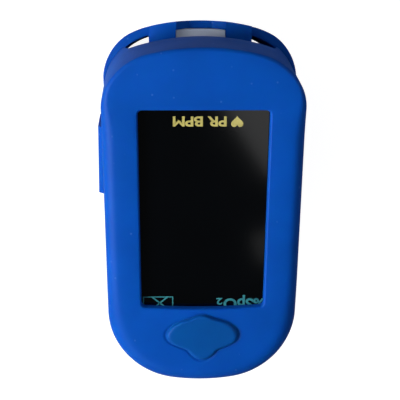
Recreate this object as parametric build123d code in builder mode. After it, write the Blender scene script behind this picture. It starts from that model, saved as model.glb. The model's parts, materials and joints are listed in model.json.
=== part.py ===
from build123d import *
from math import hypot, radians, sqrt, tan
import os

# Fingertip pulse oximeter in a two-piece silicone cover. Millimetres.
# +Z is up through the display, -Y is the end that the finger enters, and the origin is under the
# middle of the object, on the surface that it rests on. Two jaws turn on a steel pin: squeezing
# them together behind the pin opens them in front of it, and two torsion springs close them.

os.makedirs("parts", exist_ok=True)

# Overall sizes
length = 61.4
height = 34.0
half_front = 17.0                 # half width of the upper cover at its front corners
half_rear = 16.2                  # half width at its rear corners

# Covers
cover_wall = 1.5
nose_reach = 1.5                  # how far the lower nose stands out in front of the upper cover
front_bow = 38.0                  # radii of the bowed ends and of the corners between them
rear_bow = 34.0
front_corner = 10.0
rear_corner = 13.0
lower_inset = 0.3                 # the lower cover is this much narrower all round
nose_half = 9.0
nose_top = 18.2
band_end = 9.7                    # length of the slanted band from the nose to the side, along Y
shoulder_radius = 5.0             # where the band meets the side
band_bulge = 1.9                  # how far the band bows out
nose_rake = 2.9                   # the floor ends this far behind the tip of the nose
side_draft = 0.5
rear_rake = 1.0
lip_depth = 4.8                   # blocks of the nose, front to back
pocket_gap = 0.4                  # open slot between that band and the case behind it
notch_half = 4.35                 # finger notch between the blocks
notch_floor_half = 2.0
notch_depth = 2.6
notch_wall = 1.7                  # wall in front of the notch
grip_length = 12.4                # side grips on the lower cover
grip_front = 19.7                 # from the nose to a grip
grip_proud = 1.5
mouth_half = 12.8                 # opening in the front wall of the upper half
mouth_corner = 4.0

# Cases
shell_wall = 1.3
shell_top = 1.2
slide_gap = 0.1                   # clearance of the battery door
fit_gap = 0.1                     # clearance of pieces that drop into a case

# Battery bay
battery_radius = 5.25
battery_length = 44.5
battery_gap = 0.35                # between the two cells
battery_rear = 7.3                # from the rear end of the object to the cells
door_thick = 1.2
door_half = 11.9
door_lip = 0.9                    # width of the tongue on each side of the door
bay_half = 10.9
plate_thick = 0.9

# Hinge
squeeze_length = 19.7             # from the rear end to the pin
pin_radius = 1.0
pin_running_gap = 0.05
lug_radius = 1.8
lug_thick = 1.8
lug_gap = 0.2
rim_gap = 1.0                     # between the two covers in front of the pin
lower_slope = 3.0                 # rear rims fall and rise away from each other, in degrees
upper_slope = 12.0
coil_radius = 2.1
wire_radius = 0.4
coil_turns = 6
leg_length = 8.5

# Finger chamber
cushion_half = 10.4
trough_radius = 9.5
cushion_rise = 4.0                # lower cushion, above its frame
cushion_gap = 0.5                 # between the closed cushions
cushion_skin = 0.8                # thinnest place of the upper cushion
trough_floor = 2.0                # lower cushion, frame to trough
sensor_front = 17.5               # from the nose to the light path

# Display and board
window_front = 11.0               # from the front of the upper cover to the window opening
window_length = 34.2
window_half_front = 10.9
window_half_rear = 10.45
window_corner = 0.7
window_lap = 0.9                  # how far the window runs on under the cover
window_thick = 0.8
display_depth = 3.3
board_thick = 1.0
board_gap = 0.7                   # between the board and the upper frame

# Button
button_rear = 9.1                 # from the rear end of the object to the button
pad_half_x = 6.1
pad_half_y = 4.15
pad_proud = 0.6
pad_gap = 0.3
button_half_x = 4.6
button_half_y = 3.0
button_gap = 0.2
press_travel = 0.4
switch_half = 3.0
stem_radius = 1.5

# Screws
screw_radius = 0.6
screw_head = 1.1
head_thick = 0.8
boss_radius = 1.3

# Places worked out from the sizes above
rear_y = length / 2
nose_y = -length / 2
upper_front_y = nose_y + nose_reach
pivot_y = rear_y - squeeze_length
stop_y = pivot_y - lug_radius - 0.9
button_y = rear_y - button_rear
sensor_y = nose_y + sensor_front

door_top = cover_wall + door_thick
cell_z = door_top + slide_gap + 0.1 + battery_radius
plate_z = cell_z + battery_radius + 0.2
plate_top = plate_z + plate_thick
lower_rim = plate_top + 1.5
upper_rim = lower_rim + rim_gap
pivot_z = plate_top + 3.0
cushion_top = plate_top + cushion_rise
upper_cushion_low = cushion_top + cushion_gap

case_top = height - cover_wall
case_roof = case_top - shell_top
board_top = case_roof - 0.1 - display_depth
board_z = board_top - board_thick
frame_top = board_z - board_gap
frame_low = frame_top - 1.0
mouth_top = frame_low - 1.2
shelf_low = frame_low - 3.6        # rear floor of the upper frame
shelf_top = shelf_low + 1.0

cell_front = rear_y - battery_rear - battery_length
cell_rear = rear_y - battery_rear
cell_x = battery_radius + battery_gap / 2
lug_out = half_rear - lower_inset - cover_wall - shell_wall - fit_gap
screw_x = lug_out - screw_head
big = length + 2 * half_front


def bowed_end(apex, bow, x, toward):
    """Y of a bowed end at x. toward is 1 at the front and -1 at the rear."""
    return apex + toward * (bow - sqrt(bow**2 - x**2))


def upper_plan(inset):
    """Plan outline of the upper cover, or of what lies this far inside it."""
    front_x = half_front - inset
    rear_x = half_rear - inset
    front_apex = upper_front_y + inset
    rear_apex = rear_y - inset
    front_y = bowed_end(front_apex, front_bow - inset, front_x, 1)
    back_y = bowed_end(rear_apex, rear_bow - inset, rear_x, -1)
    with BuildSketch(mode=Mode.PRIVATE) as plan:
        with BuildLine():
            ThreePointArc((-front_x, front_y), (0, front_apex), (front_x, front_y))
            Line((front_x, front_y), (rear_x, back_y))
            ThreePointArc((rear_x, back_y), (0, rear_apex), (-rear_x, back_y))
            Line((-rear_x, back_y), (-front_x, front_y))
        make_face()
        fillet(plan.vertices().group_by(Axis.Y)[0], front_corner - inset)
        fillet(plan.vertices().group_by(Axis.Y)[-1], rear_corner - inset)
    return plan.sketch


def level(z):
    """How far down the lower jaw a height is: 0 at the top of the nose and 1 at the floor."""
    return 1 - z / nose_top


def lower_plan(inset, corner_cut=0.0, down=0.0):
    """Plan outline of the lower cover, or of what lies this far inside it.

    The nose is narrow, a bowed band runs back from it to each side, and the rear is round.
    corner_cut moves the bands in by that much more and straightens them. The outline draws in
    with down, which is 0 at the top of the nose and 1 at the floor."""
    side_x = half_front - lower_inset - side_draft * down
    rear_x = half_rear - lower_inset - side_draft * down
    apex = nose_y + nose_rake * down
    rear_apex = rear_y - lower_inset - rear_rake * down
    nose_side_y = bowed_end(apex, front_bow, nose_half, 1)
    band_y = apex + band_end
    back_y = bowed_end(rear_apex, rear_bow, rear_x, -1)
    run_x = side_x - nose_half
    run_y = band_y - nose_side_y
    run = hypot(run_x, run_y)
    out_x = run_y / run
    out_y = -run_x / run
    bulge = (nose_half + run_x / 2 + band_bulge * out_x, nose_side_y + run_y / 2 + band_bulge * out_y)
    with BuildSketch(mode=Mode.PRIVATE) as plan:
        with BuildLine():
            ThreePointArc((-nose_half, nose_side_y), (0, apex), (nose_half, nose_side_y))
            ThreePointArc((nose_half, nose_side_y), bulge, (side_x, band_y))
            Line((side_x, band_y), (rear_x, back_y))
            ThreePointArc((rear_x, back_y), (0, rear_apex), (-rear_x, back_y))
            Line((-rear_x, back_y), (-side_x, band_y))
            ThreePointArc((-side_x, band_y), (-bulge[0], bulge[1]), (-nose_half, nose_side_y))
        make_face()
        fillet(plan.vertices().group_by(Axis.Y)[-1], rear_corner - lower_inset)
        fillet(plan.vertices().group_by(Axis.Y)[1], shoulder_radius)
        if inset > 0:
            offset(amount=-inset, kind=Kind.INTERSECTION)
        if corner_cut > 0:
            off_x = -out_x * (inset + corner_cut)
            off_y = -out_y * (inset + corner_cut)
            near = (nose_half + off_x - run_x, nose_side_y + off_y - run_y)
            far = (side_x + off_x + run_x, band_y + off_y + run_y)
            for side in (1, -1):
                with BuildLine():
                    Polyline((side * near[0], near[1]), (side * far[0], far[1]),
                             (side * far[0], near[1]), close=True)
                make_face(mode=Mode.SUBTRACT)
    return plan.sketch


def lower_block(inset, corner_cut, low, high):
    """The lower jaw's outer shape, or what lies this far inside it, between two heights."""
    with BuildPart(mode=Mode.PRIVATE) as block:
        with BuildSketch():
            add(lower_plan(inset, corner_cut, 1.0))
        with BuildSketch(Plane.XY.offset(nose_top)):
            add(lower_plan(inset, corner_cut, 0.0))
        loft(ruled=True)
        with BuildSketch(Plane.XY.offset(low)):
            Rectangle(big, big)
        extrude(amount=high - low, mode=Mode.INTERSECT)
    return block.part


def rear_wedge(rim, slope):
    """Side outline of what is cut from a rim behind the pin. slope is positive upwards."""
    reach = squeeze_length + 5
    away = -1 if slope > 0 else 1
    with BuildSketch(mode=Mode.PRIVATE) as wedge:
        with BuildLine():
            Polyline((pivot_y, rim), (pivot_y + reach, rim + reach * tan(radians(slope))),
                     (pivot_y + reach, rim + away * 3), (pivot_y, rim + away * 3), (pivot_y, rim))
        make_face()
    return wedge.sketch


def window_plan(grow):
    """Plan outline of the window opening, which narrows slightly towards the rear."""
    front = upper_front_y + window_front
    rear = front + window_length
    corners = [(window_half_front + grow, front - grow), (window_half_rear + grow, rear + grow),
               (-window_half_rear - grow, rear + grow), (-window_half_front - grow, front - grow)]
    with BuildSketch(mode=Mode.PRIVATE) as plan:
        with BuildLine():
            Polyline(*corners, close=True)
        make_face()
        fillet(plan.vertices(), window_corner + grow)
    return plan.sketch


def pad_plan(grow=0.0):
    """Plan outline of the button pad: wide side lobes, a flat front lobe and a fuller rear one."""
    half = [(0, -1.0), (0.20, -0.93), (0.36, -0.82), (0.60, -0.72), (0.82, -0.54), (0.97, -0.28),
            (1.0, -0.02), (0.90, 0.22), (0.65, 0.42), (0.42, 0.57), (0.30, 0.79), (0.15, 0.95)]
    right = [(x * (pad_half_x + grow), y * (pad_half_y + grow)) for x, y in half]
    left = [(-x, y) for x, y in reversed(right[1:])]
    with BuildSketch(mode=Mode.PRIVATE) as plan:
        with BuildLine():
            Spline(*right, (0, pad_half_y + grow), *left, periodic=True)
        make_face()
    return plan.sketch


def four_corners(x, front, rear):
    """Places of the four screws of one half."""
    return [(x, front), (-x, front), (x, rear), (-x, rear)]


lower_screws_at = four_corners(screw_x, nose_y + 13.5, pivot_y + 4.7)
upper_screws_at = four_corners(screw_x + 0.2, upper_front_y + 10.0, stop_y - 5.0)
door_plan = lower_plan(cover_wall, pocket_gap, level(cover_wall))
lower_frame_plan = lower_plan(cover_wall + shell_wall + fit_gap, pocket_gap, level(plate_z))


# Lower cover: a silicone bumper with a nose lip over the case, a grip on each side, and a bottom
# that is open under the battery door and behind it, so that the door can slide out.
grip_y = nose_y + grip_front + grip_length / 2
grip_low = 3.0
door_front = cell_front - 0.4


def on_grip_face(edge):
    """True for an edge on the outer face of a side grip."""
    return abs(edge.center().X) > half_front - lower_inset + grip_proud / 2


with BuildPart() as cover_lower:
    add(lower_block(0, 0, 0, nose_top))
    fillet(cover_lower.faces().sort_by(Axis.Z)[0].edges(), cover_wall * 0.8)
    with BuildSketch(Plane.XY.offset(grip_low)):
        with Locations((0, grip_y)):
            Rectangle(2 * (half_front - lower_inset + grip_proud), grip_length)
    extrude(amount=lower_rim - 1.5 - grip_low)
    chamfer(cover_lower.edges().filter_by(Axis.Y).filter_by(on_grip_face), grip_proud * 0.5)
    with BuildSketch(Plane.XY.offset(lower_rim)):
        Rectangle(big, big)
        with Locations((0, nose_y)):
            Rectangle(2 * nose_half - 0.4, 2 * lip_depth, mode=Mode.SUBTRACT)
    extrude(amount=height, mode=Mode.SUBTRACT)
    add(lower_block(cover_wall, 0, cover_wall, lower_rim - 0.5), mode=Mode.SUBTRACT)
    with BuildSketch(Plane.XY.offset(lower_rim - 0.5)):
        add(lower_plan(cover_wall, 0, level(lower_rim)))
        with Locations((0, nose_y)):
            Rectangle(2 * nose_half, 2 * lip_depth + 0.2, mode=Mode.SUBTRACT)
    extrude(amount=height, mode=Mode.SUBTRACT)
    with BuildSketch():
        add(lower_plan(cover_wall, 0, 1.0))
        add(lower_plan(cover_wall, pocket_gap, 1.0), mode=Mode.SUBTRACT)
    extrude(amount=cover_wall + 0.5, mode=Mode.SUBTRACT)
    with BuildSketch(Plane.XZ):
        with BuildLine():
            Polyline((-notch_half, nose_top + 0.1), (notch_half, nose_top + 0.1),
                     (notch_floor_half, nose_top - notch_depth), (-notch_floor_half, nose_top - notch_depth),
                     close=True)
        make_face()
    extrude(amount=big, mode=Mode.SUBTRACT)
    with BuildSketch(Plane.XY.offset(lower_rim - 0.5)):
        with Locations((0, nose_y + notch_wall)):
            Rectangle(2 * notch_half, lip_depth, align=(Align.CENTER, Align.MIN))
    extrude(amount=height, mode=Mode.SUBTRACT)
    with BuildSketch(Plane.YZ):
        add(rear_wedge(lower_rim, -lower_slope))
    extrude(amount=big, both=True, mode=Mode.SUBTRACT)
    with BuildSketch():
        with Locations((0, door_front - 0.6)):
            Rectangle(2 * (door_half + 0.5), big, align=(Align.CENTER, Align.MIN))
    extrude(amount=door_top + 0.2, mode=Mode.SUBTRACT)
cover_lower.part.label = "cover_lower"
export_step(cover_lower.part, "parts/cover_lower.step")


# Lower case: a moulded tray with the battery bay, open below it, and grooves for the door.
bay_rear = cell_rear + 0.3
with BuildPart() as lower_shell:
    add(lower_block(cover_wall, pocket_gap, cover_wall, lower_rim - 0.5))
    add(lower_block(cover_wall + shell_wall, pocket_gap, door_top + 0.9, lower_rim), mode=Mode.SUBTRACT)
    with BuildSketch(Plane.XY.offset(door_top + 0.9)):
        with Locations(*lower_screws_at):
            Circle(boss_radius)
    extrude(amount=plate_z - door_top - 0.9)
    with BuildSketch():
        with Locations((0, cell_front - 0.3)):
            Rectangle(2 * bay_half, bay_rear - cell_front + 0.3, align=(Align.CENTER, Align.MIN))
    extrude(amount=plate_z, mode=Mode.SUBTRACT)
    with BuildSketch():
        with Locations((0, door_front)):
            Rectangle(2 * (door_half - door_lip + slide_gap), big, align=(Align.CENTER, Align.MIN))
    extrude(amount=door_top + slide_gap, mode=Mode.SUBTRACT)
    with BuildSketch(Plane.XY.offset(door_top - door_thick / 2 - slide_gap)):
        with Locations((0, door_front)):
            Rectangle(2 * (door_half + slide_gap), big, align=(Align.CENTER, Align.MIN))
    extrude(amount=door_thick / 2 + 2 * slide_gap, mode=Mode.SUBTRACT)
    with BuildSketch(Plane.XY.offset(plate_z - 6)):
        with Locations(*lower_screws_at):
            Circle(screw_radius)
    extrude(amount=6, mode=Mode.SUBTRACT)
    with BuildSketch(Plane.YZ):
        add(rear_wedge(lower_rim - 0.5, -lower_slope))
    extrude(amount=big, both=True, mode=Mode.SUBTRACT)
lower_shell.part.label = "lower_shell"
export_step(lower_shell.part, "parts/lower_shell.step")


# Battery door: slides out to the rear, with a tongue along each side and ribs for the thumb.
with BuildPart() as battery_door:
    with BuildSketch(Plane.XY.offset(cover_wall)):
        add(door_plan)
        with Locations((0, door_front + slide_gap)):
            Rectangle(2 * (door_half - door_lip), big, align=(Align.CENTER, Align.MIN),
                      mode=Mode.INTERSECT)
    extrude(amount=door_thick)
    with BuildSketch(Plane.XY.offset(door_top - door_thick / 2)):
        add(door_plan)
        with Locations((0, door_front + slide_gap)):
            Rectangle(2 * door_half, big, align=(Align.CENTER, Align.MIN), mode=Mode.INTERSECT)
    extrude(amount=door_thick / 2)
    with BuildSketch(Plane.XY.offset(cover_wall)):
        with Locations(*[(0, cell_rear - 3 - 1.8 * i) for i in range(4)]):
            Rectangle(12, 0.8)
    extrude(amount=0.35, mode=Mode.SUBTRACT)
battery_door.part.label = "battery_door"
export_step(battery_door.part, "parts/battery_door.step")


# Two AAA cells side by side, one each way round.
def cell(side):
    """One cell: a straight can with a round edge, and its positive button at one end."""
    nub = 0.8
    body_start = cell_front if side > 0 else cell_front + nub
    nub_start = cell_rear - nub if side > 0 else cell_front
    with BuildPart() as can:
        with BuildSketch(Plane.XZ.offset(-body_start)):
            with Locations((side * cell_x, cell_z)):
                Circle(battery_radius)
        extrude(amount=nub - battery_length)
        fillet(can.edges().filter_by(GeomType.CIRCLE), 0.4)
        with BuildSketch(Plane.XZ.offset(-nub_start)):
            with Locations((side * cell_x, cell_z)):
                Circle(1.9)
        extrude(amount=-nub)
    return can.part


for side, name in ((1, "battery_right"), (-1, "battery_left")):
    one_cell = cell(side)
    one_cell.label = name
    export_step(one_cell, f"parts/{name}.step")


# Contacts: a sheet metal plate behind each end of the bay.
with BuildPart() as battery_contacts:
    for end in (cell_front, cell_rear + 0.3):
        with BuildSketch(Plane.XZ.offset(-end)):
            with Locations((0, cell_z)):
                Rectangle(2 * bay_half - 2.0, 7.5)
        extrude(amount=0.3)
battery_contacts.part.label = "battery_contacts"
export_step(battery_contacts.part, "parts/battery_contacts.step")


# Lower frame: the plate over the cells, with the outer hinge lugs and a seat for each spring leg.
spring_x = 3.0 + coil_turns * wire_radius + 0.9
with BuildPart() as lower_frame:
    with BuildSketch(Plane.XY.offset(plate_z)):
        add(lower_frame_plan)
        with Locations(*lower_screws_at):
            Circle(screw_radius + 0.1, mode=Mode.SUBTRACT)
    extrude(amount=plate_thick)
    for lug_x in (-lug_out, lug_out - lug_thick):
        with BuildSketch(Plane.YZ.offset(lug_x)):
            with Locations((pivot_y, pivot_z)):
                Circle(lug_radius)
            with Locations((pivot_y, plate_z)):
                Rectangle(2 * lug_radius, pivot_z - plate_z, align=(Align.CENTER, Align.MIN))
        extrude(amount=lug_thick)
    with BuildSketch(Plane.YZ.offset(-lug_out)):
        with Locations((pivot_y, pivot_z)):
            Circle(pin_radius)
    extrude(amount=2 * lug_out, mode=Mode.SUBTRACT)
    with BuildSketch(Plane.XY.offset(plate_top)):
        with Locations((spring_x, pivot_y + leg_length - 1), (-spring_x, pivot_y + leg_length - 1)):
            Rectangle(2 * coil_turns * wire_radius + 1.0, 2.0)
    extrude(amount=pivot_z - coil_radius - wire_radius - plate_top)
lower_frame.part.label = "lower_frame"
export_step(lower_frame.part, "parts/lower_frame.step")


# Hinge pin: pressed into the lower lugs, and free in the upper ones.
with BuildPart() as hinge_pin:
    with BuildSketch(Plane.YZ.offset(-lug_out)):
        with Locations((pivot_y, pivot_z)):
            Circle(pin_radius)
    extrude(amount=2 * lug_out)
    chamfer(hinge_pin.edges(), 0.2)
hinge_pin.part.label = "hinge_pin"
export_step(hinge_pin.part, "parts/hinge_pin.step")


# Torsion springs: close-wound coils round the pin, one leg on each frame behind it.
pin_line = Axis((0, pivot_y, pivot_z), (1, 0, 0))
coil_pitch = 2 * wire_radius * 0.94
for side, name in ((1, "torsion_spring_right"), (-1, "torsion_spring_left")):
    coil_half = coil_pitch * (coil_turns - 1) / 2
    with BuildPart() as spring:
        with BuildSketch(Plane.XZ.offset(-pivot_y)):
            with Locations(*[(side * spring_x - coil_half + i * coil_pitch, pivot_z + coil_radius)
                             for i in range(coil_turns)]):
                Circle(wire_radius)
        revolve(axis=pin_line)
        with BuildSketch(Plane.XZ.offset(-pivot_y)):
            with Locations((side * spring_x - coil_half, pivot_z - coil_radius),
                           (side * spring_x + coil_half, pivot_z + coil_radius)):
                Circle(wire_radius * 0.96)
        extrude(amount=-leg_length)
    spring.part.label = name
    export_step(spring.part, f"parts/{name}.step")


# Lower screws: pan heads on the frame, shanks down into the case.
def screws(places, seat, toward, grip):
    """Screws at these places. toward is -1 for shanks that point down, 1 for up."""
    with BuildPart() as group:
        with BuildSketch(Plane.XY.offset(seat)):
            with Locations(*places):
                Circle(screw_head)
        extrude(amount=-toward * head_thick)
        fillet(group.faces().group_by(Axis.Z)[-1 if toward < 0 else 0].edges(), 0.3)
        with BuildSketch(Plane.XY.offset(seat)):
            with Locations(*places):
                Circle(screw_radius - 0.02)
        extrude(amount=toward * grip)
        with BuildSketch(Plane.XY.offset(seat - toward * head_thick)):
            with Locations(*places):
                Rectangle(1.3, 0.3)
                Rectangle(0.3, 1.3)
        extrude(amount=toward * 0.4, mode=Mode.SUBTRACT)
    return group.part


lower_screws = screws(lower_screws_at, plate_top, -1, 5.0)
lower_screws.label = "lower_screws"
export_step(lower_screws, "parts/lower_screws.step")


# Light sensor in the lower jaw: a small board, a photodiode on it and a clear lens over it.
diode_low = plate_top + 0.6
lens_low = diode_low + 0.8
with BuildPart() as sensor_board:
    with BuildSketch(Plane.XY.offset(plate_top)):
        with Locations((0, sensor_y)):
            RectangleRounded(8.0, 8.0, 0.6)
    extrude(amount=0.6)
sensor_board.part.label = "sensor_board"
export_step(sensor_board.part, "parts/sensor_board.step")

with BuildPart() as photodiode:
    with BuildSketch(Plane.XY.offset(diode_low)):
        with Locations((0, sensor_y)):
            Rectangle(4.0, 3.2)
    extrude(amount=0.7)
    with BuildSketch(Plane.XY.offset(diode_low + 0.6)):
        with Locations((0, sensor_y)):
            Rectangle(2.8, 2.2)
    extrude(amount=0.1, mode=Mode.SUBTRACT)
photodiode.part.label = "photodiode"
export_step(photodiode.part, "parts/photodiode.step")

with BuildPart() as detector_lens:
    with BuildSketch(Plane.XY.offset(lens_low)):
        with Locations((0, sensor_y)):
            RectangleRounded(6.0, 5.0, 1.0)
    extrude(amount=plate_top + trough_floor + 0.1 - lens_low)
    fillet(detector_lens.faces().sort_by(Axis.Z)[-1].edges(), 0.25)
detector_lens.part.label = "detector_lens"
export_step(detector_lens.part, "parts/detector_lens.step")


# Lower finger cushion: a soft trough with a raised stop at its rear end, and a tongue at the
# front that lies over the rim of the case in the notch.
cushion_front = nose_y + lip_depth + 0.2
with BuildPart() as lower_cushion:
    with BuildSketch(Plane.XY.offset(plate_top)):
        add(lower_frame_plan)
        with Locations((0, cushion_front)):
            Rectangle(2 * cushion_half, stop_y - cushion_front, align=(Align.CENTER, Align.MIN),
                      mode=Mode.INTERSECT)
    extrude(amount=cushion_rise)
    with BuildSketch(Plane.XY.offset(lower_rim - 0.4)):
        with Locations((0, nose_y + notch_wall + fit_gap)):
            Rectangle(2 * (notch_half - fit_gap), lip_depth, align=(Align.CENTER, Align.MIN))
    extrude(amount=cushion_top - lower_rim + 0.4)
    with BuildSketch(Plane.XZ.offset(1.4 - stop_y)):
        with Locations((0, plate_top + trough_floor + trough_radius)):
            Circle(trough_radius)
    extrude(amount=big, mode=Mode.SUBTRACT)
    with BuildSketch(Plane.XY.offset(plate_top)):
        with Locations((0, sensor_y)):
            Rectangle(8.4, 8.4)
        with Locations((0, sensor_y)):
            Rectangle(6.4, big, align=(Align.CENTER, Align.MIN))
    extrude(amount=0.7, mode=Mode.SUBTRACT)
    with BuildSketch(Plane.XY.offset(plate_top)):
        with Locations((0, sensor_y)):
            RectangleRounded(6.0, 5.0, 1.0)
    extrude(amount=5, mode=Mode.SUBTRACT)
lower_cushion.part.label = "lower_cushion"
export_step(lower_cushion.part, "parts/lower_cushion.step")


# Flexible cable: lies on the lower frame under the cushion, passes under the pin, and rises
# behind it to a connector on the main board.
cable_half = 3.0
cable_thick = 0.25
rise_y = pivot_y + 1.9
connector_low = board_z - 1.6
with BuildPart() as flex_cable:
    with BuildSketch(Plane.YZ.offset(-cable_half)):
        with BuildLine():
            FilletPolyline((sensor_y + 4.0, plate_top), (rise_y, plate_top), (rise_y, connector_low),
                           radius=1.2)
            FilletPolyline((sensor_y + 4.0, plate_top + cable_thick),
                           (rise_y - cable_thick, plate_top + cable_thick),
                           (rise_y - cable_thick, connector_low), radius=1.2 - cable_thick)
            Line((sensor_y + 4.0, plate_top), (sensor_y + 4.0, plate_top + cable_thick))
            Line((rise_y, connector_low), (rise_y - cable_thick, connector_low))
        make_face()
    extrude(amount=2 * cable_half)
flex_cable.part.label = "flex_cable"
export_step(flex_cable.part, "parts/flex_cable.step")


# Upper cover: a silicone cap with the window opening, the button opening and the wide mouth.
def upper_mouth():
    """Front outline of the mouth, with round upper corners."""
    with BuildSketch(mode=Mode.PRIVATE) as mouth:
        with Locations((0, mouth_top)):
            Rectangle(2 * mouth_half, height, align=(Align.CENTER, Align.MAX))
        fillet(mouth.vertices().group_by(Axis.Y)[-1], mouth_corner)
    return mouth.sketch


with BuildPart() as cover_upper:
    with BuildSketch(Plane.XY.offset(upper_rim)):
        add(upper_plan(0))
    extrude(amount=height - upper_rim)
    fillet(cover_upper.faces().sort_by(Axis.Z)[-1].edges(), 2.2)
    with BuildSketch(Plane.XY.offset(upper_rim)):
        add(upper_plan(cover_wall))
    extrude(amount=case_top - upper_rim, mode=Mode.SUBTRACT)
    with BuildSketch(Plane.XY.offset(case_top)):
        add(window_plan(0))
        with Locations((0, button_y)):
            add(pad_plan(pad_gap))
    extrude(amount=cover_wall, mode=Mode.SUBTRACT)
    with BuildSketch(Plane.XZ.offset(-upper_front_y - 8.0)):
        add(upper_mouth())
    extrude(amount=big, mode=Mode.SUBTRACT)
    with BuildSketch(Plane.YZ):
        add(rear_wedge(upper_rim, upper_slope))
    extrude(amount=big, both=True, mode=Mode.SUBTRACT)
cover_upper.part.label = "cover_upper"
export_step(cover_upper.part, "parts/cover_upper.step")


# Button pad: the raised part of the cover over the button, which sinks with it.
pad_low = case_top + press_travel + 0.2
with BuildPart() as cover_button_pad:
    with BuildSketch(Plane.XY.offset(pad_low)):
        with Locations((0, button_y)):
            add(pad_plan())
    extrude(amount=height + pad_proud - pad_low)
    fillet(cover_button_pad.faces().sort_by(Axis.Z)[-1].edges(), 0.5)
cover_button_pad.part.label = "cover_button_pad"
export_step(cover_button_pad.part, "parts/cover_button_pad.step")


# Upper case: a moulded cap with a ledge for the window, a button hole and four bosses.
with BuildPart() as upper_shell:
    with BuildSketch(Plane.XY.offset(upper_rim + 0.5)):
        add(upper_plan(cover_wall))
    extrude(amount=case_top - upper_rim - 0.5)
    with BuildSketch(Plane.XY.offset(upper_rim)):
        add(upper_plan(cover_wall + shell_wall))
    extrude(amount=case_roof - upper_rim, mode=Mode.SUBTRACT)
    with BuildSketch(Plane.XY.offset(board_top)):
        with Locations(*upper_screws_at):
            Circle(boss_radius)
    extrude(amount=case_roof - board_top)
    with BuildSketch(Plane.XY.offset(board_top)):
        with Locations(*upper_screws_at):
            Circle(screw_radius)
    extrude(amount=2.6, mode=Mode.SUBTRACT)
    with BuildSketch(Plane.XY.offset(case_top - window_thick)):
        add(window_plan(window_lap + fit_gap))
    extrude(amount=window_thick, mode=Mode.SUBTRACT)
    with BuildSketch(Plane.XY.offset(case_roof)):
        add(window_plan(-0.3))
        with Locations((0, button_y)):
            Ellipse(button_half_x + button_gap, button_half_y + button_gap)
    extrude(amount=shell_top, mode=Mode.SUBTRACT)
    with BuildSketch(Plane.XZ.offset(-upper_front_y - 8.0)):
        add(upper_mouth())
    extrude(amount=big, mode=Mode.SUBTRACT)
    with BuildSketch(Plane.YZ):
        add(rear_wedge(upper_rim + 0.5, upper_slope))
    extrude(amount=big, both=True, mode=Mode.SUBTRACT)
upper_shell.part.label = "upper_shell"
export_step(upper_shell.part, "parts/upper_shell.step")


# Display window: a dark acrylic plate, flush with the case and lapped by the cover.
with BuildPart() as display_window:
    with BuildSketch(Plane.XY.offset(case_top - window_thick)):
        add(window_plan(window_lap))
    extrude(amount=window_thick)
display_window.part.label = "display_window"
export_step(display_window.part, "parts/display_window.step")


# Digit display: a dark block with two rows of three seven-segment digits.
window_middle = upper_front_y + window_front + window_length / 2
display_half = window_half_rear - 0.6
display_top = board_top + display_depth
with BuildPart() as digit_display:
    with BuildSketch(Plane.XY.offset(board_top)):
        with Locations((0, window_middle)):
            Rectangle(2 * display_half, window_length - 4)
    extrude(amount=display_depth)
    fillet(digit_display.edges().filter_by(Axis.Z), 0.4)
digit_display.part.label = "digit_display"
export_step(digit_display.part, "parts/digit_display.step")

digit_half_x = 2.0
digit_half_y = 4.2
bar = 0.9
digit_at = [(x, window_middle + y) for x in (-6.4, 0, 6.4) for y in (-7.0, 7.0)]
with BuildPart() as digit_segments:
    with BuildSketch(Plane.XY.offset(display_top)):
        for x, y in digit_at:
            with Locations(*[(x, y + step * digit_half_y) for step in (-1, 0, 1)]):
                SlotOverall(2 * digit_half_x - bar - 0.2, bar)
            with Locations(*[(x + a * digit_half_x, y + b * digit_half_y / 2)
                             for a in (-1, 1) for b in (-1, 1)]):
                SlotOverall(digit_half_y - bar - 0.2, bar, rotation=90)
    extrude(amount=0.08)
digit_segments.part.label = "digit_segments"
export_step(digit_segments.part, "parts/digit_segments.step")


# Main board, with its parts on the underside behind the finger chamber.
with BuildPart() as main_board:
    with BuildSketch(Plane.XY.offset(board_z)):
        add(upper_plan(cover_wall + shell_wall + 0.5))
        with Locations(*upper_screws_at):
            Circle(screw_radius + 0.1, mode=Mode.SUBTRACT)
    extrude(amount=board_thick)
main_board.part.label = "main_board"
export_step(main_board.part, "parts/main_board.step")

with BuildPart() as processor:
    with BuildSketch(Plane.XY.offset(board_z)):
        with Locations((0, pivot_y + 9.5)):
            Rectangle(7.0, 7.0)
    extrude(amount=-1.2)
    chamfer(processor.faces().sort_by(Axis.Z)[0].edges(), 0.2)
processor.part.label = "processor"
export_step(processor.part, "parts/processor.step")

with BuildPart() as small_chips:
    with BuildSketch(Plane.XY.offset(board_z)):
        with Locations((8.2, pivot_y + 5.5), (-8.2, pivot_y + 5.5)):
            Rectangle(4.0, 5.0)
        with Locations(*[(side * 6.4, pivot_y + 11.0 + 1.6 * i) for side in (-1, 1) for i in range(3)]):
            Rectangle(1.6, 0.8)
    extrude(amount=-0.9)
small_chips.part.label = "small_chips"
export_step(small_chips.part, "parts/small_chips.step")

with BuildPart() as crystal:
    with BuildSketch(Plane.XY.offset(board_z)):
        with Locations((0, pivot_y + 15.2)):
            SlotOverall(8.0, 3.2)
    extrude(amount=-2.6)
    fillet(crystal.faces().sort_by(Axis.Z)[0].edges(), 0.4)
crystal.part.label = "crystal"
export_step(crystal.part, "parts/crystal.step")

with BuildPart() as cable_connector:
    with BuildSketch(Plane.XY.offset(board_z)):
        with Locations((0, rise_y - cable_thick / 2)):
            Rectangle(2 * cable_half + 2.0, 2.6)
    extrude(amount=connector_low - board_z)
cable_connector.part.label = "cable_connector"
export_step(cable_connector.part, "parts/cable_connector.step")


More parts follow.
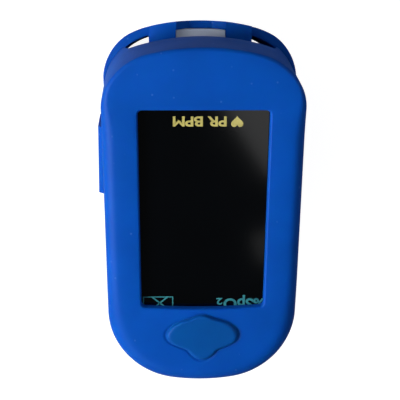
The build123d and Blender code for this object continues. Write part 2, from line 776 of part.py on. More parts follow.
# Switch: a fixed body with a well, and the stem that the button presses.
switch_top = board_top + 2.1
well_depth = press_travel + 0.7
with BuildPart() as switch_body:
    with BuildSketch(Plane.XY.offset(board_top)):
        with Locations((0, button_y)):
            RectangleRounded(2 * switch_half, 2 * switch_half, 0.5)
    extrude(amount=switch_top - board_top)
    with BuildSketch(Plane.XY.offset(switch_top - well_depth)):
        with Locations((0, button_y)):
            Circle(stem_radius + 0.08)
    extrude(amount=well_depth, mode=Mode.SUBTRACT)
switch_body.part.label = "switch_body"
export_step(switch_body.part, "parts/switch_body.step")

stem_top = switch_top + press_travel + 0.3
with BuildPart() as switch_stem:
    with BuildSketch(Plane.XY.offset(switch_top - well_depth + press_travel + 0.1)):
        with Locations((0, button_y)):
            Circle(stem_radius)
    extrude(amount=stem_top - switch_top + well_depth - press_travel - 0.1)
switch_stem.part.label = "switch_stem"
export_step(switch_stem.part, "parts/switch_stem.step")


# Button: a hard cap with a flange that the case holds down.
flange_top = case_roof - 0.05
with BuildPart() as power_button:
    with BuildSketch(Plane.XY.offset(stem_top)):
        with Locations((0, button_y)):
            Ellipse(button_half_x + 0.7, button_half_y + 0.7)
    extrude(amount=flange_top - stem_top)
    with BuildSketch(Plane.XY.offset(flange_top)):
        with Locations((0, button_y)):
            Ellipse(button_half_x, button_half_y)
    extrude(amount=pad_low - flange_top)
power_button.part.label = "power_button"
export_step(power_button.part, "parts/power_button.step")


# Upper frame: a stepped plate. Its front floor holds the upper cushion, and its rear floor closes
# the case behind the finger stop. The inner hinge lugs and the spring seats hang from it.
with BuildPart() as upper_frame:
    with BuildSketch(Plane.YZ.offset(-half_front)):
        with BuildLine():
            Polyline((nose_y, frame_low), (stop_y + 0.2, frame_low), (stop_y + 0.2, shelf_low),
                     (rear_y, shelf_low), (rear_y, shelf_top), (stop_y + 1.2, shelf_top),
                     (stop_y + 1.2, frame_top), (nose_y, frame_top), close=True)
        make_face()
    extrude(amount=2 * half_front)
    with BuildSketch():
        add(upper_plan(cover_wall + shell_wall + fit_gap))
    extrude(amount=height, mode=Mode.INTERSECT)
    with BuildSketch(Plane.XY.offset(frame_top)):
        with Locations(*upper_screws_at):
            Circle(boss_radius)
    extrude(amount=board_gap)
    inner_lug = lug_out - lug_thick - lug_gap
    for lug_x in (-inner_lug, inner_lug - lug_thick):
        with BuildSketch(Plane.YZ.offset(lug_x)):
            with Locations((pivot_y, pivot_z)):
                Circle(lug_radius)
            with Locations((pivot_y, pivot_z)):
                Rectangle(2 * lug_radius, shelf_top - pivot_z, align=(Align.CENTER, Align.MIN))
        extrude(amount=lug_thick)
    with BuildSketch(Plane.YZ.offset(-inner_lug)):
        with Locations((pivot_y, pivot_z)):
            Circle(pin_radius + pin_running_gap)
    extrude(amount=2 * inner_lug, mode=Mode.SUBTRACT)
    with BuildSketch(Plane.XY.offset(shelf_low)):
        with Locations((spring_x, pivot_y + leg_length - 1), (-spring_x, pivot_y + leg_length - 1)):
            Rectangle(2 * coil_turns * wire_radius + 1.0, 2.0)
    extrude(amount=pivot_z + coil_radius + wire_radius - shelf_low)
    with BuildSketch(Plane.XY.offset(shelf_low)):
        with Locations((0, rise_y - cable_thick / 2)):
            Rectangle(2 * cable_half + 1.0, 1.6)
    extrude(amount=2, mode=Mode.SUBTRACT)
    with BuildSketch(Plane.XY.offset(frame_low)):
        with Locations((0, sensor_y)):
            Rectangle(5.0, 4.0)
        with Locations(*upper_screws_at):
            Circle(screw_radius + 0.1)
    extrude(amount=2, mode=Mode.SUBTRACT)
upper_frame.part.label = "upper_frame"
export_step(upper_frame.part, "parts/upper_frame.step")

upper_screws = screws(upper_screws_at, frame_low, 1, board_top + 2.4 - frame_low)
upper_screws.label = "upper_screws"
export_step(upper_screws, "parts/upper_screws.step")


# Light source in the upper jaw: a small board, its two emitters and a clear lens.
with BuildPart() as emitter_board:
    with BuildSketch(Plane.XY.offset(frame_top)):
        with Locations((0, sensor_y)):
            RectangleRounded(8.0, 8.0, 0.6)
    extrude(amount=0.5)
emitter_board.part.label = "emitter_board"
export_step(emitter_board.part, "parts/emitter_board.step")

with BuildPart() as emitter_leds:
    with BuildSketch(Plane.XY.offset(frame_top)):
        with Locations((1.1, sensor_y), (-1.1, sensor_y)):
            Rectangle(1.6, 2.4)
    extrude(amount=-0.8)
emitter_leds.part.label = "emitter_leds"
export_step(emitter_leds.part, "parts/emitter_leds.step")

trough_roof = frame_low - cushion_skin
with BuildPart() as emitter_lens:
    with BuildSketch(Plane.XY.offset(frame_low)):
        with Locations((0, sensor_y)):
            RectangleRounded(6.0, 5.0, 1.0)
    extrude(amount=trough_roof - 0.1 - frame_low)
    fillet(emitter_lens.faces().sort_by(Axis.Z)[0].edges(), 0.25)
emitter_lens.part.label = "emitter_lens"
export_step(emitter_lens.part, "parts/emitter_lens.step")


# Upper finger cushion: the same trough turned over, with its own stop.
with BuildPart() as upper_cushion:
    with BuildSketch(Plane.XY.offset(upper_cushion_low)):
        add(upper_plan(cover_wall + shell_wall + fit_gap))
        with Locations((0, nose_y)):
            Rectangle(2 * cushion_half, stop_y - nose_y, align=(Align.CENTER, Align.MIN),
                      mode=Mode.INTERSECT)
    extrude(amount=frame_low - upper_cushion_low)
    with BuildSketch(Plane.XZ.offset(1.4 - stop_y)):
        with Locations((0, trough_roof - trough_radius)):
            Circle(trough_radius)
    extrude(amount=big, mode=Mode.SUBTRACT)
    with BuildSketch(Plane.XY.offset(upper_cushion_low)):
        with Locations((0, sensor_y)):
            RectangleRounded(6.0, 5.0, 1.0)
    extrude(amount=frame_low - upper_cushion_low, mode=Mode.SUBTRACT)
upper_cushion.part.label = "upper_cushion"
export_step(upper_cushion.part, "parts/upper_cushion.step")
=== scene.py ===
import json
from math import atan2, cos, pi, radians, sin, sqrt, tan

import bpy
from mathutils import Matrix, Vector


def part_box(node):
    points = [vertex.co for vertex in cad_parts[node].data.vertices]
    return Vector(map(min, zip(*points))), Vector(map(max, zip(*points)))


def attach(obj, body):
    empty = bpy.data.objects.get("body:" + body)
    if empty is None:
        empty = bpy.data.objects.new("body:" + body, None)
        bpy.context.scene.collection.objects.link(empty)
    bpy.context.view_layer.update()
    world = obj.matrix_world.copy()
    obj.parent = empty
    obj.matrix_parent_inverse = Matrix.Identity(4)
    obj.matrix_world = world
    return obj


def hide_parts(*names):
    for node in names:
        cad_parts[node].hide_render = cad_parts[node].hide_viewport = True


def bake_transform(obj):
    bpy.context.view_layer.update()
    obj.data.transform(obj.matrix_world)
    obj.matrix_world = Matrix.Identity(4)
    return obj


# A fingertip pulse oximeter in a soft silicone cover, as it lies on a pale table. Metres.
# The display faces +Z and the finger goes in from -Y.
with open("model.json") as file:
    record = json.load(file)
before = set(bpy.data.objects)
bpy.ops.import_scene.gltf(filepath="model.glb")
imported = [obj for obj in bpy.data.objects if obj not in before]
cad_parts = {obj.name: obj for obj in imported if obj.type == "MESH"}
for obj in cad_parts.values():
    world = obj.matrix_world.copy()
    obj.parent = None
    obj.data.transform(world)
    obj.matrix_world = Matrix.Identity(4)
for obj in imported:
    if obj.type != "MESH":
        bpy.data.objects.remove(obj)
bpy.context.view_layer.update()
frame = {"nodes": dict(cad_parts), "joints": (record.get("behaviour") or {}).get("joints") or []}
mm = 0.001


# --- Camera, lights and floor -------------------------------------------------------------------
# A long lens looks almost straight down, from the finger end and a little from the +X side, so
# that the finger end is at the top of the picture. Soft lights stand round the object.
tilt = radians(17.0)
turn = radians(2.6)
roll = radians(0.5)
distance = 200 * mm
target = Vector((0, -1.6 * mm, 34.0 * mm))
back = Vector((sin(turn) * cos(tilt), -sin(tilt), cos(tilt) * cos(turn))).normalized()
right = (-back).cross(Vector((0, -1, 0))).normalized()
up = right.cross(-back)
camera_data = bpy.data.cameras.new("camera")
camera_data.lens = 108
camera_data.shift_x = -0.00875
camera_data.shift_y = 0.02125
camera_data.clip_start = 0.01
camera = bpy.data.objects.new("camera", camera_data)
bpy.context.collection.objects.link(camera)
turned = Matrix((right * cos(roll) + up * sin(roll), up * cos(roll) - right * sin(roll), back))
camera.matrix_world = Matrix.Translation(target + back * distance) @ turned.transposed().to_4x4()
bpy.context.scene.camera = camera


def area_light(name, place, size, power):
    """A soft square light that faces the middle of the object."""
    data = bpy.data.lights.new(name, "AREA")
    data.size = size
    data.energy = power
    lamp = bpy.data.objects.new(name, data)
    bpy.context.collection.objects.link(lamp)
    lamp.visible_camera = False
    aim = Vector((0, 0, 17 * mm)) - Vector(place)
    lamp.matrix_world = Matrix.Translation(place) @ aim.to_track_quat("-Z", "Y").to_matrix().to_4x4()


# Each has its place, its width and its power in watts. A near one on the +X side does most,
# three wide ones fill in, and the two glows overhead show as reflections in the display window.
area_light("window_light", (0.18, 0.01, 0.155), 0.12, 0.66)
area_light("rear_light", (0.45, 0.75, 0.55), 0.5, 2.2)
area_light("front_light", (0.35, -0.5, 0.3), 0.3, 0.45)
area_light("bounce_light", (-0.6, -0.25, 0.45), 0.5, 1.2)
area_light("corner_glow", (-0.125, 0.185, 1.0), 0.11, 0.05)
area_light("edge_glow", (-0.112, 0.335, 1.0), 0.03, 0.0018)
world = bpy.data.worlds.new("studio")
world.use_nodes = True
bpy.context.scene.world = world
bpy.context.scene.view_settings.view_transform = "Standard"


def linear(hex_colour):
    """An sRGB hex colour as the linear colour that a shader takes."""
    parts = [int(hex_colour[i:i + 2], 16) / 255 for i in (1, 3, 5)]
    return [c / 12.92 if c <= 0.04045 else ((c + 0.055) / 1.055) ** 2.4 for c in parts] + [1.0]


def add_node(material, kind, settings=None, links=None):
    """Adds a node to a material, sets its sockets or properties, and links its inputs."""
    made = material.node_tree.nodes.new(kind)
    for key, value in (settings or {}).items():
        if isinstance(key, int) or key in made.inputs:
            made.inputs[key].default_value = value
        else:
            setattr(made, key, value)
    for key, output in (links or {}).items():
        material.node_tree.links.new(output, made.inputs[key])
    return made


# The room is dim, and the backdrop behind the table is white.
room = world.node_tree.nodes["Background"]
room.inputs["Color"].default_value = (0.85, 0.92, 1.0, 1.0)
room.inputs["Strength"].default_value = 0.07
backdrop = add_node(world, "ShaderNodeBackground", {"Color": (1.0, 1.0, 1.0, 1.0), "Strength": 1.0})
ray = add_node(world, "ShaderNodeLightPath")
seen = add_node(world, "ShaderNodeMixShader", None, {"Fac": ray.outputs["Is Camera Ray"]})
world.node_tree.links.new(room.outputs["Background"], seen.inputs[1])
world.node_tree.links.new(backdrop.outputs["Background"], seen.inputs[2])
world.node_tree.links.new(seen.outputs["Shader"], world.node_tree.nodes["World Output"].inputs["Surface"])


def moulded(name, light, dark, roughness, grain, depth, patch=6.0, **shader):
    """A moulded or coated surface: broad patches between two colours, and a fine grain.

    grain and patch are sizes in millimetres, and depth is the height of the grain in millimetres.
    The real grain of a mould is finer, and is drawn as coarse as it needs to be to show."""
    material = bpy.data.materials.new(name)
    material.use_nodes = True
    surface = material.node_tree.nodes["Principled BSDF"]
    surface.inputs["Roughness"].default_value = roughness
    for key, value in shader.items():
        surface.inputs[key.replace("_", " ").title().replace("Ior", "IOR")].default_value = value
    place = add_node(material, "ShaderNodeTexCoord").outputs["Object"]
    patches = add_node(material, "ShaderNodeTexNoise", {"Scale": 1 / (patch * mm), "Detail": 3.0},
                       {"Vector": place})
    colours = add_node(material, "ShaderNodeValToRGB", None, {"Fac": patches.outputs["Fac"]})
    colours.color_ramp.elements[0].position = 0.3
    colours.color_ramp.elements[0].color = linear(dark)
    colours.color_ramp.elements[1].position = 0.7
    colours.color_ramp.elements[1].color = linear(light)
    grains = add_node(material, "ShaderNodeTexNoise", {"Scale": 1 / (grain * mm), "Detail": 2.0},
                      {"Vector": place})
    bump = add_node(material, "ShaderNodeBump", {"Strength": 1.0, "Distance": depth * mm},
                    {"Height": grains.outputs["Fac"]})
    material.node_tree.links.new(colours.outputs["Color"], surface.inputs["Base Color"])
    material.node_tree.links.new(bump.outputs["Normal"], surface.inputs["Normal"])
    return material


# The floor is a matt opal sheet lit from below, so the object stands on clean white. It is much
# wider than the object, so its edge never shows. Only the camera sees its glow, so that it doesn't
# light the object.
bpy.ops.object.select_all(action="DESELECT")
bpy.ops.mesh.primitive_plane_add(size=6.0, location=(0, 0, -0.02 * mm))
floor = bpy.context.object
floor.name = "floor"
lit_sheet = moulded("backlit_opal_acrylic", "#8c8c8e", "#868688", 0.8, 0.6, 0.01, patch=60)
opal_surface = lit_sheet.node_tree.nodes["Principled BSDF"]
glow = add_node(lit_sheet, "ShaderNodeEmission", {"Color": (1.0, 1.0, 1.0, 1.0), "Strength": 0.95})
lit = add_node(lit_sheet, "ShaderNodeAddShader", None, {
    0: opal_surface.outputs["BSDF"], 1: glow.outputs["Emission"]})
sheet_ray = add_node(lit_sheet, "ShaderNodeLightPath")
seen_sheet = add_node(lit_sheet, "ShaderNodeMixShader", None, {
    0: sheet_ray.outputs["Is Camera Ray"], 1: opal_surface.outputs["BSDF"], 2: lit.outputs["Shader"]})
lit_sheet.node_tree.links.new(seen_sheet.outputs["Shader"],
                              lit_sheet.node_tree.nodes["Material Output"].inputs["Surface"])
floor.data.materials.append(lit_sheet)


# --- Upper silicone cover -----------------------------------------------------------------------
# The cap that shows most: liquid silicone moulded in one piece, royal blue and matt, stretched
# over the upper case. It has a crisp front edge, round sides, and a thick edge at the window.
silicone_wall = 1.5 * mm


def outline(front, rear, halves, bows, corners):
    """Points round a bowed oblong, from the middle of its front, each with its outward direction."""
    bow_steps, corner_steps, side_steps = 20, 56, 16
    ends = []
    for apex, half, bow, corner, toward in zip((front, rear), halves, bows, corners, (1, -1)):
        centre_y = apex + toward * bow
        corner_x = half - corner
        corner_y = centre_y - toward * sqrt((bow - corner) ** 2 - corner_x ** 2)
        meet = atan2(corner_x, abs(centre_y - corner_y))
        angles = [meet * i / bow_steps for i in range(bow_steps)]
        end = [(bow * sin(a), centre_y - toward * bow * cos(a), sin(a), -toward * cos(a)) for a in angles]
        angles = [meet + (pi / 2 - meet) * i / corner_steps for i in range(corner_steps + 1)]
        end += [(corner_x + corner * sin(a), corner_y - toward * corner * cos(a), sin(a),
                 -toward * cos(a)) for a in angles]
        ends.append(end)
    start, stop = ends[0][-1], ends[1][-1]
    side = []
    for i in range(1, side_steps):
        share = i / side_steps
        side.append((start[0] + (stop[0] - start[0]) * share, start[1] + (stop[1] - start[1]) * share, 1, 0))
    half_way = ends[0] + side + ends[1][::-1]
    return half_way + [(-x, y, -nx, ny) for x, y, nx, ny in half_way[-2:0:-1]]


def smooth_step(low, high, value):
    """0 below low, 1 above high, and a smooth rise between them."""
    t = min(max((value - low) / (high - low), 0), 1)
    return t * t * (3 - 2 * t)


def pick(piece):
    """Selects one piece alone and makes it the active one."""
    bpy.ops.object.select_all(action="DESELECT")
    piece.select_set(True)
    bpy.context.view_layer.objects.active = piece


def skin(name, *sheets, fills=()):
    """A mesh of several sheets, each a list of rings of points that are bridged in order.

    The rings change shape on the way, which no one operator makes, so their points are laid here.
    fills lists sets of rings, as (sheet, ring) pairs, whose loops are joined by a flat face."""
    points = []
    faces = []
    loops = {}
    for s, rings in enumerate(sheets):
        for r, ring in enumerate(rings):
            loops[s, r] = range(len(points), len(points) + len(ring))
            points += [tuple(p) for p in ring]
            if r > 0:
                a, b = loops[s, r - 1], loops[s, r]
                faces += [(a[i], a[(i + 1) % len(a)], b[(i + 1) % len(a)], b[i]) for i in range(len(a))]
    mesh = bpy.data.meshes.new(name)
    mesh.from_pydata(points, [], faces)
    piece = bpy.data.objects.new(name, mesh)
    bpy.context.collection.objects.link(piece)
    pick(piece)
    for group in fills:
        chosen = set()
        for key in group:
            chosen |= set(loops[key])
        bpy.ops.object.mode_set(mode="EDIT")
        bpy.ops.mesh.select_all(action="DESELECT")
        bpy.ops.object.mode_set(mode="OBJECT")
        for edge in mesh.edges:
            edge.select = edge.vertices[0] in chosen and edge.vertices[1] in chosen
        bpy.ops.object.mode_set(mode="EDIT")
        bpy.ops.mesh.select_mode(type="EDGE")
        bpy.ops.mesh.fill(use_beauty=True)
        bpy.ops.object.mode_set(mode="OBJECT")
    bpy.ops.object.mode_set(mode="EDIT")
    bpy.ops.mesh.select_all(action="SELECT")
    bpy.ops.mesh.remove_doubles(threshold=1e-7)
    bpy.ops.mesh.normals_make_consistent(inside=False)
    bpy.ops.object.mode_set(mode="OBJECT")
    bpy.ops.object.shade_smooth_by_angle(angle=radians(40))
    return piece


def fit(piece, material, body, slot, *nodes):
    """Gives a piece its material and body, and hides the CAD nodes that it stands for. The slot argument is
    not used.
    """
    piece.data.materials.clear()
    piece.data.materials.append(material)
    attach(piece, body)
    if nodes:
        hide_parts(*nodes)


cover_low, cover_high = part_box("cover_upper")
front_y, rear_y = cover_low.y, cover_high.y
top_z, skirt_z = cover_high.z, cover_low.z
cover_line = outline(front_y, rear_y, halves=(cover_high.x, 16.2 * mm), bows=(38 * mm, 34 * mm),
                     corners=(10 * mm, 13 * mm))
pivot = Vector(next(j for j in frame["joints"] if j["name"] == "jaw_hinge")["pos_m"])
# The mouth is the wide arch in the front wall, where the finger goes in under the cushion.
mouth_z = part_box("upper_cushion")[1].z - 1.2 * mm
mouth_half = 12.8 * mm
mouth_round = 4.0 * mm
mouth_flare = 0.6 * mm
mouth_depth = 8 * mm
rear_slope = radians(12)


def rim_height(x, y):
    """Lower edge of the upper cover: level at the sides, arched over the mouth, rising behind."""
    if y > pivot.y:
        return skirt_z + (y - pivot.y) * tan(rear_slope)
    across = abs(x)
    if y > front_y + mouth_depth or across > mouth_half + mouth_flare:
        return skirt_z
    if across > mouth_half:
        side_z = mouth_z - mouth_round
        return side_z + (skirt_z - side_z) * smooth_step(mouth_half, mouth_half + mouth_flare, across)
    if across > mouth_half - mouth_round:
        return mouth_z - mouth_round + sqrt(mouth_round ** 2 - (across - mouth_half + mouth_round) ** 2)
    return mouth_z


front_lean = 0.7 * mm
rear_lean = 0.25 * mm


def cover_ring(inset, height, outside=True):
    """A ring of the cover. inset takes the y of an outline point, and height its rim and its y.

    Outside, the front and rear walls lean in a little towards the top."""
    ring = []
    for x, y, nx, ny in cover_line:
        rim = rim_height(x, y)
        z = height(rim, y)
        lean = 0
        if outside:
            rise = max(0, z - skirt_z) / (top_z - skirt_z)
            lean = front_lean * rise * (1 - smooth_step(front_y + 2 * mm, front_y + 14 * mm, y))
            lean -= rear_lean * rise * smooth_step(rear_y - 14 * mm, rear_y - 2 * mm, y)
        d = inset(y)
        ring.append((x - nx * d, y - ny * d + lean, z))
    return ring


def edge_radius(y):
    """The top edge is crisp at the front and round along the sides and rear."""
    crisp = 1 - smooth_step(front_y + 5 * mm, front_y + 16 * mm, y)
    full = smooth_step(rear_y - 20 * mm, rear_y - 8 * mm, y)
    return (2.2 - 1.5 * crisp + 0.8 * full) * mm


under_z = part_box("upper_shell")[1].z + 0.02 * mm
cover_rings = [cover_ring(lambda y: edge_radius(y) + 0.8 * mm, lambda rim, y: top_z)]
for i in range(9):
    a = radians(90 - 90 * i / 8)
    cover_rings.append(cover_ring(lambda y: edge_radius(y) * (1 - cos(a)),
                                  lambda rim, y: top_z - edge_radius(y) * (1 - sin(a))))
rim_round = 0.4 * mm
for share in (0.75, 0.5, 0.25):
    cover_rings.append(cover_ring(
        lambda y: 0, lambda rim, y: rim + rim_round + share * (top_z - edge_radius(y) - rim)))
# The lower edge is rounded on both faces of the wall. Each pair is how far in and how far up.
for inset, rise in ((0, 0.4), (0.12, 0.12), (0.4, 0)):
    cover_rings.append(cover_ring(lambda y: inset * mm, lambda rim, y: rim + rise * mm))
cover_rings.append(cover_ring(lambda y: silicone_wall - rim_round, lambda rim, y: rim))
for inset, rise in ((1.38, 0.12), (1.5, 0.4)):
    cover_rings.append(cover_ring(lambda y: inset * mm, lambda rim, y: rim + rise * mm, outside=False))
cover_rings.append(cover_ring(lambda y: silicone_wall, lambda rim, y: under_z, outside=False))

# The cover laps over the edge of the display window by this much all round.
lap = 0.9 * mm
glass_low, glass_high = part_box("display_window")
opening_front, opening_rear = glass_low.y + lap, glass_high.y - lap
opening_half = glass_high.x - lap
narrowing = 0.45 * mm
rear_bow = 0.45 * mm
opening_corner = 0.7 * mm


def window_ring(grow, z):
    """A ring round the window opening, which narrows to the rear and has a bowed rear edge."""
    rear_half = opening_half - narrowing
    corner = opening_corner
    long_run = opening_rear - opening_front - 2 * corner
    ring = []
    for side, toward, half, start in ((1, -1, opening_half, -90), (1, 1, rear_half, 0),
                                      (-1, 1, rear_half, 90), (-1, -1, opening_half, 180)):
        centre_x = side * (half - corner)
        centre_y = (opening_front if toward < 0 else opening_rear) - toward * corner
        for i in range(9):
            a = radians(start + 90 * i / 8)
            ring.append([centre_x + (corner + grow) * cos(a), centre_y + (corner + grow) * sin(a), z])
        for i in range(1, 24):
            share = i / 24
            if side == toward:
                ring.append([centre_x * (1 - 2 * share), centre_y + toward * (corner + grow), z])
            else:
                across = side * (half + grow + toward * narrowing * share)
                ring.append([across, centre_y - toward * share * long_run, z])
    middle = (opening_front + opening_rear) / 2
    for p in ring:
        p[1] += rear_bow * (1 - (p[0] / opening_half) ** 2) * smooth_step(middle, opening_rear, p[1])
    return ring


# Each pair is how far out the ring is, in millimetres, and its height: a soft edge, then the wall.
window_rings = [window_ring(g * mm, z) for g, z in (
    (0.36, top_z), (0.26, top_z - 0.02 * mm), (0.14, top_z - 0.1 * mm), (0.05, top_z - 0.22 * mm),
    (0, top_z - 0.42 * mm), (0, under_z))]

# The button pad is widest at its middle, with a narrow lobe to the rear. Its outline points are
# shares of its half width and half length.
pad_low, pad_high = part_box("cover_button_pad")
pad_half_x = (pad_high.x - pad_low.x) / 2
pad_half_y = (pad_high.y - pad_low.y) / 2
pad_y = (pad_high.y + pad_low.y) / 2
pad_half = [(0, -1.0), (0.20, -0.93), (0.36, -0.82), (0.60, -0.72), (0.82, -0.54), (0.97, -0.28),
            (1.0, -0.02), (0.90, 0.22), (0.65, 0.42), (0.42, 0.57), (0.30, 0.79), (0.15, 0.95), (0, 1.0)]


def pad_ring(grow, z):
    """A ring round the lobed button pad: a smooth closed curve through its outline points.

    It grows less at the front, where the window is close."""
    knots = [Vector(p) for p in pad_half] + [Vector((-x, y)) for x, y in pad_half[-2:0:-1]]
    ring = []
    for i in range(len(knots)):
        a, b, c, d = (knots[(i + k) % len(knots)] for k in (-1, 0, 1, 2))
        for step in range(8):
            t = step / 8
            p = (2 * b + (c - a) * t + (2 * a - 5 * b + 4 * c - d) * t ** 2
                 + (3 * b - a - 3 * c + d) * t ** 3) / 2
            narrow = 0.4 if p.y < 0 else 1
            ring.append((p.x * (pad_half_x + grow), pad_y + p.y * (pad_half_y + grow * narrow), z))
    return ring


groove_z = top_z - 0.13 * mm
groove_rings = [pad_ring(g * mm, z) for g, z in (
    (0.85, top_z), (0.68, top_z - 0.01 * mm), (0.5, top_z - 0.045 * mm), (0.38, top_z - 0.09 * mm),
    (0.3, groove_z), (0.3, under_z))]
sheets = (cover_rings, window_rings, groove_rings)
top_face = [(i, 0) for i in range(3)]
under_face = [(i, len(rings) - 1) for i, rings in enumerate(sheets)]
cover_upper = skin("upper_silicone_cover", *sheets, fills=(top_face, under_face))


def silicone(name, light, dark):
    """Matt platinum-cured silicone, moulded against a fine spark-eroded tool: a soft bloom at
    grazing angles, a fine grain, and a few lighter specks of dust that cling to it."""
    material = moulded(name, light, dark, 0.5, 0.16, 0.012, patch=9.0, specular_ior_level=0.13)
    surface = material.node_tree.nodes["Principled BSDF"]
    surface.inputs["IOR"].default_value = 1.41
    surface.inputs["Subsurface Weight"].default_value = 0.35
    surface.inputs["Subsurface Radius"].default_value = (0.15, 0.5, 1.0)
    surface.inputs["Subsurface Scale"].default_value = 1.6 * mm
    surface.inputs["Sheen Weight"].default_value = 0.045
    surface.inputs["Sheen Roughness"].default_value = 0.45
    surface.inputs["Sheen Tint"].default_value = linear("#6f88ff")
    place = add_node(material, "ShaderNodeTexCoord").outputs["Object"]
    dust = add_node(material, "ShaderNodeTexVoronoi", {"Scale": 1 / (2.6 * mm), "Randomness": 1.0},
                    {"Vector": place})
    near = add_node(material, "ShaderNodeMapRange", {"From Min": 0.02, "From Max": 0.09, "To Min": 0.22,
                                                     "To Max": 0.0}, {"Value": dust.outputs["Distance"]})
    base = surface.inputs["Base Color"].links[0].from_socket
    mixed = add_node(material, "ShaderNodeMixRGB", {"Color2": linear("#7fa6e8")},
                     {"Fac": near.outputs["Result"], "Color1": base})
    material.node_tree.links.new(mixed.outputs["Color"], surface.inputs["Base Color"])
    return material


blue_silicone = silicone("blue_silicone", "#0050b4", "#0049a6")
fit(cover_upper, blue_silicone, "upper_jaw", "silicone_cover", "cover_upper")


# --- Button pad ---------------------------------------------------------------------------------
# The raised pad over the power button, moulded in one with the cover. A thin web in the groove
# round it lets it sink, and its face is dished for a fingertip.
pad_top = pad_high.z
web_z = groove_z + 0.04 * mm
pad_rings = [pad_ring(-0.02 * mm, pad_low.z + 0.05 * mm), pad_ring(0.02 * mm, web_z)]
for inset, drop in ((0.05, 0.42), (0.17, 0.23), (0.36, 0.09), (0.62, 0.01), (0.85, 0), (1.2, 0.01),
                    (1.8, 0.03), (2.6, 0.05), (3.4, 0.06)):
    pad_rings.append(pad_ring(-inset * mm, pad_top - drop * mm))
button_pad = skin("silicone_button_pad", pad_rings, fills=([(0, 0)], [(0, len(pad_rings) - 1)]))
pad_silicone = silicone("pad_silicone", "#0152a2", "#004b95")
fit(button_pad, pad_silicone, "power_button", "silicone_pad", "cover_button_pad")

web_rings = [pad_ring(g * mm, z) for g, z in (
    (0.31, groove_z), (0.15, groove_z + 0.01 * mm), (0.01, web_z), (0.01, web_z - 0.2 * mm),
    (0.15, groove_z - 0.18 * mm), (0.31, groove_z - 0.2 * mm), (0.31, groove_z))]
pad_web = skin("silicone_pad_web", web_rings)
pad_web.data.materials.append(blue_silicone)
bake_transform(pad_web)


# --- Display window -----------------------------------------------------------------------------
# A flat plate of smoked acrylic, polished, printed on its back. Only the legends show while the
# display is off. They are plain units and signs, printed pale yellow and teal.
acrylic = moulded("smoked_acrylic", "#020305", "#010203", 0.07, 0.8, 0.0004, patch=14.0)
acrylic_surface = acrylic.node_tree.nodes["Principled BSDF"]
acrylic_surface.inputs["IOR"].default_value = 1.49
acrylic_surface.inputs["Specular IOR Level"].default_value = 0.35
window_plate = frame["nodes"]["display_window"]
window_plate.data.materials.clear()
window_plate.data.materials.append(acrylic)
print_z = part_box("display_window")[1].z + 0.008 * mm


def ink(name, light, dark):
    """Screen-printed ink behind acrylic: slightly uneven, with the plate's gloss over it."""
    return moulded(name, light, dark, 0.12, 0.3, 0.001, patch=0.7)


yellow_ink = ink("pale_yellow_ink", "#c9be6e", "#b0a55c")
teal_ink = ink("teal_ink", "#3d8c92", "#2a6e78")


def legend(name, words, across, along, material):
    """Words printed on the window, drawn to fill a box whose sides are given in millimetres."""
    left, right = (x * mm for x in across)
    low, high = (y * mm for y in along)
    bpy.ops.object.select_all(action="DESELECT")
    bpy.ops.object.text_add(location=(0, 0, 0))
    text = bpy.context.object
    text.data.body = words
    text.data.size = 1.0
    # The strokes are made a little bolder, as screen printing spreads them.
    text.data.offset = 0.028
    bpy.ops.object.convert(target="MESH")
    printed = bpy.context.object
    printed.name = name
    xs = [v.co.x for v in printed.data.vertices]
    ys = [v.co.y for v in printed.data.vertices]
    wide = (right - left) / (max(xs) - min(xs))
    tall = (high - low) / (max(ys) - min(ys))
    for v in printed.data.vertices:
        v.co = (left + (v.co.x - min(xs)) * wide, low + (v.co.y - min(ys)) * tall, print_z)
    fit(printed, material, "upper_jaw", "window_acrylic")


legend("pulse_legend", "PR BPM", (-3.75, 5.1), (-16.95, -15.25), yellow_ink)
legend("oxygen_legend", "%SpO", (-10.75, -3.65), (14.45, 17.1), teal_ink)
legend("oxygen_digit", "2", (-3.45, -2.4), (14.95, 16.2), teal_ink)


def flat_piece(name, points, faces, material):
    """A flat printed sign on the window. Its points are in millimetres."""
    mesh = bpy.data.meshes.new(name)
    mesh.from_pydata([(x * mm, y * mm, print_z) for x, y in points], [], faces)
    sign = bpy.data.objects.new(name, mesh)
    bpy.context.collection.objects.link(sign)
    fit(sign, material, "upper_jaw", "window_acrylic")


heart_x, heart_y = -5.5, -15.95
heart_scale, heart_slim = 0.066, 0.95
heart_steps = 48
heart = []
for i in range(heart_steps):
    a = 2 * pi * i / heart_steps
    heart.append((heart_x + heart_scale * 16 * sin(a) ** 3 * heart_slim,
                  heart_y + heart_scale * (13 * cos(a) - 5 * cos(2 * a) - 2 * cos(3 * a) - cos(4 * a))))
flat_piece("heart_sign", heart, [tuple(range(heart_steps))[::-1]], yellow_ink)

box_left, box_right = 5.0, 10.2
box_low, box_high = 14.6, 17.0
stroke = 0.2
box_points = []
for inset in (0, stroke):
    box_points += [(box_left + inset, box_low + inset), (box_right - inset, box_low + inset),
                   (box_right - inset, box_high - inset), (box_left + inset, box_high - inset)]
box_faces = [(i, (i + 1) % 4, 4 + (i + 1) % 4, 4 + i) for i in range(4)]
flat_piece("box_sign", box_points, box_faces, teal_ink)
cross_left, cross_right = 6.1, 8.5
cross_low, cross_high = box_low + stroke, box_high - stroke
cross_points = []
for x0, x1 in ((cross_left, cross_right), (cross_right, cross_left)):
    cross_points += [(x0 - stroke, cross_low), (x0 + stroke, cross_low),
                     (x1 + stroke, cross_high), (x1 - stroke, cross_high)]
flat_piece("cross_sign", cross_points, [(0, 1, 2, 3), (4, 5, 6, 7)], teal_ink)


